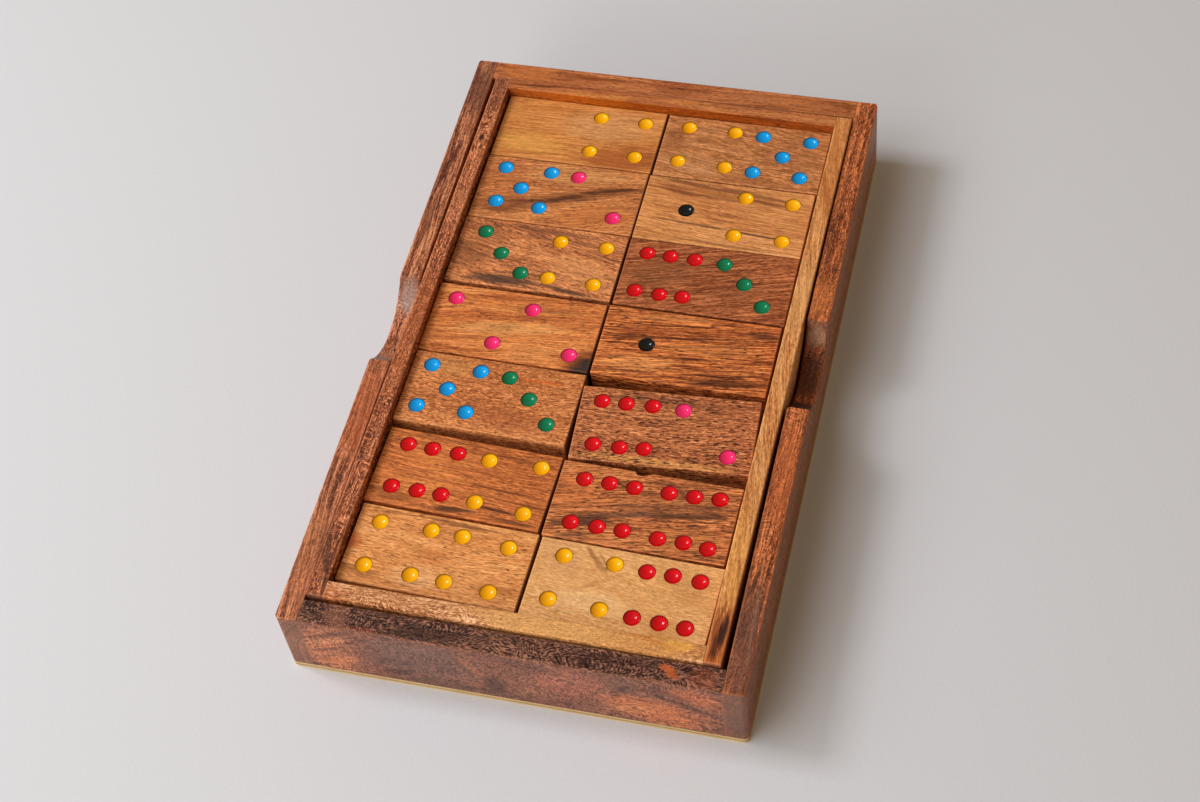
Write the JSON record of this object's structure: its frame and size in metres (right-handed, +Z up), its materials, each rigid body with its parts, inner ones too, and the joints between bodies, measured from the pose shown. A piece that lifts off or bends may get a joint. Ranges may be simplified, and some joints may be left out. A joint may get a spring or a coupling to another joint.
{
  "type": "domino storage box",
  "caption": "Shallow wooden box with a finger notch in each long wall and a lift-out tray of stacked wooden dominoes with drilled, enamelled pips.",
  "frame": {"origin": "middle of the underside of the outer box, on the surface that it stands on", "axes": "+X across the box to the right, +Y along the box to the back, +Z up"},
  "size_m": [0.1234, 0.2004, 0.026],
  "materials": {
    "plywood": "raw birch plywood, light edge",
    "box_hardwood": "oiled reddish-brown open-pored hardwood",
    "box_dark_hardwood": "oiled dark heartwood with a purple-brown face",
    "tray_dark_hardwood": "oiled dark red-brown hardwood",
    "tray_light_hardwood": "oiled pale golden hardwood",
    "tile_pale": "oiled pale hardwood, sanded edges",
    "tile_gold": "oiled golden hardwood, sanded edges",
    "tile_tan": "oiled tan hardwood, sanded edges",
    "tile_brown": "oiled mid-brown hardwood, sanded edges",
    "tile_russet": "oiled russet hardwood, sanded edges",
    "enamel_black": "gloss enamel in a drilled hollow",
    "enamel_pink": "gloss enamel in a drilled hollow",
    "enamel_green": "gloss enamel in a drilled hollow",
    "enamel_yellow": "gloss enamel in a drilled hollow",
    "enamel_blue": "gloss enamel in a drilled hollow",
    "enamel_red": "gloss enamel in a drilled hollow"
  },
  "bodies": {
    "outer_box": {"base_panel": "plywood", "left_wall": "box_hardwood", "right_wall": "box_hardwood", "front_wall": "box_dark_hardwood", "back_wall": "box_hardwood"},
    "tray": {"tray_floor": "plywood", "tray_left_wall": "tray_dark_hardwood", "tray_right_wall": "tray_light_hardwood", "tray_front_wall": "tray_light_hardwood", "tray_back_wall": "tray_light_hardwood"},
    "lower_domino_1_3": {"lower_tile_1_3": "tile_gold"},
    "upper_domino_0_4": {"upper_tile_0_4": "tile_gold", "upper_pips_0_4": "enamel_yellow"},
    "lower_domino_0_6": {"lower_tile_0_6": "tile_brown"},
    "upper_domino_5_2": {"upper_tile_5_2": "tile_brown", "upper_pips_5_2": "enamel_blue"},
    "lower_domino_5_5": {"lower_tile_5_5": "tile_tan"},
    "upper_domino_3_4": {"upper_tile_3_4": "tile_tan", "upper_pips_3_4": "enamel_green"},
    "lower_domino_1_6": {"lower_tile_1_6": "tile_tan"},
    "upper_domino_2_2": {"upper_tile_2_2": "tile_tan", "upper_pips_2_2": "enamel_pink"},
    "lower_domino_2_3": {"lower_tile_2_3": "tile_tan"},
    "upper_domino_5_3": {"upper_tile_5_3": "tile_tan", "upper_pips_5_3": "enamel_blue"},
    "lower_domino_0_2": {"lower_tile_0_2": "tile_tan"},
    "upper_domino_6_4": {"upper_tile_6_4": "tile_tan", "upper_pips_6_4": "enamel_red"},
    "lower_domino_1_5": {"lower_tile_1_5": "tile_gold"},
    "upper_domino_4_4": {"upper_tile_4_4": "tile_gold", "upper_pips_4_4": "enamel_yellow"},
    "lower_domino_3_3": {"lower_tile_3_3": "tile_brown"},
    "upper_domino_4_5": {"upper_tile_4_5": "tile_brown", "upper_pips_4_5": "enamel_yellow"},
    "lower_domino_0_5": {"lower_tile_0_5": "tile_gold"},
    "upper_domino_1_4": {"upper_tile_1_4": "tile_gold", "upper_pips_1_4": "enamel_black"},
    "lower_domino_1_2": {"lower_tile_1_2": "tile_russet"},
    "upper_domino_6_3": {"upper_tile_6_3": "tile_russet", "upper_pips_6_3": "enamel_red"},
    "lower_domino_2_4": {"lower_tile_2_4": "tile_brown"},
    "upper_domino_1_0": {"upper_tile_1_0": "tile_brown", "upper_pips_1_0": "enamel_black"},
    "lower_domino_1_1": {"lower_tile_1_1": "tile_brown"},
    "upper_domino_6_2": {"upper_tile_6_2": "tile_brown", "upper_pips_6_2": "enamel_red"},
    "lower_domino_0_3": {"lower_tile_0_3": "tile_brown"},
    "upper_domino_6_6": {"upper_tile_6_6": "tile_brown", "upper_pips_6_6": "enamel_red"},
    "lower_domino_5_6": {"lower_tile_5_6": "tile_pale"},
    "upper_domino_4_6": {"upper_tile_4_6": "tile_pale", "upper_pips_4_6": "enamel_yellow"}
  },
  "joints": [
    {"name": "tray_lift", "type": "slide", "parent": "outer_box", "child": "tray", "axis": [0, 0, 1], "range_m": [0, 0.03]},
    {"name": "lower_1_3_lift", "type": "slide", "parent": "tray", "child": "lower_domino_1_3", "axis": [0, 0, 1], "range_m": [0, 0.026]},
    {"name": "upper_0_4_lift", "type": "slide", "parent": "lower_domino_1_3", "child": "upper_domino_0_4", "axis": [0, 0, 1], "range_m": [0, 0.016]},
    {"name": "lower_0_6_lift", "type": "slide", "parent": "tray", "child": "lower_domino_0_6", "axis": [0, 0, 1], "range_m": [0, 0.026]},
    {"name": "upper_5_2_lift", "type": "slide", "parent": "lower_domino_0_6", "child": "upper_domino_5_2", "axis": [0, 0, 1], "range_m": [0, 0.016]},
    {"name": "lower_5_5_lift", "type": "slide", "parent": "tray", "child": "lower_domino_5_5", "axis": [0, 0, 1], "range_m": [0, 0.026]},
    {"name": "upper_3_4_lift", "type": "slide", "parent": "lower_domino_5_5", "child": "upper_domino_3_4", "axis": [0, 0, 1], "range_m": [0, 0.016]},
    {"name": "lower_1_6_lift", "type": "slide", "parent": "tray", "child": "lower_domino_1_6", "axis": [0, 0, 1], "range_m": [0, 0.026]},
    {"name": "upper_2_2_lift", "type": "slide", "parent": "lower_domino_1_6", "child": "upper_domino_2_2", "axis": [0, 0, 1], "range_m": [0, 0.016]},
    {"name": "lower_2_3_lift", "type": "slide", "parent": "tray", "child": "lower_domino_2_3", "axis": [0, 0, 1], "range_m": [0, 0.026]},
    {"name": "upper_5_3_lift", "type": "slide", "parent": "lower_domino_2_3", "child": "upper_domino_5_3", "axis": [0, 0, 1], "range_m": [0, 0.016]},
    {"name": "lower_0_2_lift", "type": "slide", "parent": "tray", "child": "lower_domino_0_2", "axis": [0, 0, 1], "range_m": [0, 0.026]},
    {"name": "upper_6_4_lift", "type": "slide", "parent": "lower_domino_0_2", "child": "upper_domino_6_4", "axis": [0, 0, 1], "range_m": [0, 0.016]},
    {"name": "lower_1_5_lift", "type": "slide", "parent": "tray", "child": "lower_domino_1_5", "axis": [0, 0, 1], "range_m": [0, 0.026]},
    {"name": "upper_4_4_lift", "type": "slide", "parent": "lower_domino_1_5", "child": "upper_domino_4_4", "axis": [0, 0, 1], "range_m": [0, 0.016]},
    {"name": "lower_3_3_lift", "type": "slide", "parent": "tray", "child": "lower_domino_3_3", "axis": [0, 0, 1], "range_m": [0, 0.026]},
    {"name": "upper_4_5_lift", "type": "slide", "parent": "lower_domino_3_3", "child": "upper_domino_4_5", "axis": [0, 0, 1], "range_m": [0, 0.016]},
    {"name": "lower_0_5_lift", "type": "slide", "parent": "tray", "child": "lower_domino_0_5", "axis": [0, 0, 1], "range_m": [0, 0.026]},
    {"name": "upper_1_4_lift", "type": "slide", "parent": "lower_domino_0_5", "child": "upper_domino_1_4", "axis": [0, 0, 1], "range_m": [0, 0.016]},
    {"name": "lower_1_2_lift", "type": "slide", "parent": "tray", "child": "lower_domino_1_2", "axis": [0, 0, 1], "range_m": [0, 0.026]},
    {"name": "upper_6_3_lift", "type": "slide", "parent": "lower_domino_1_2", "child": "upper_domino_6_3", "axis": [0, 0, 1], "range_m": [0, 0.016]},
    {"name": "lower_2_4_lift", "type": "slide", "parent": "tray", "child": "lower_domino_2_4", "axis": [0, 0, 1], "range_m": [0, 0.026]},
    {"name": "upper_1_0_lift", "type": "slide", "parent": "lower_domino_2_4", "child": "upper_domino_1_0", "axis": [0, 0, 1], "range_m": [0, 0.016]},
    {"name": "lower_1_1_lift", "type": "slide", "parent": "tray", "child": "lower_domino_1_1", "axis": [0, 0, 1], "range_m": [0, 0.026]},
    {"name": "upper_6_2_lift", "type": "slide", "parent": "lower_domino_1_1", "child": "upper_domino_6_2", "axis": [0, 0, 1], "range_m": [0, 0.016]},
    {"name": "lower_0_3_lift", "type": "slide", "parent": "tray", "child": "lower_domino_0_3", "axis": [0, 0, 1], "range_m": [0, 0.026]},
    {"name": "upper_6_6_lift", "type": "slide", "parent": "lower_domino_0_3", "child": "upper_domino_6_6", "axis": [0, 0, 1], "range_m": [0, 0.016]},
    {"name": "lower_5_6_lift", "type": "slide", "parent": "tray", "child": "lower_domino_5_6", "axis": [0, 0, 1], "range_m": [0, 0.026]},
    {"name": "upper_4_6_lift", "type": "slide", "parent": "lower_domino_5_6", "child": "upper_domino_4_6", "axis": [0, 0, 1], "range_m": [0, 0.016]}
  ]
}
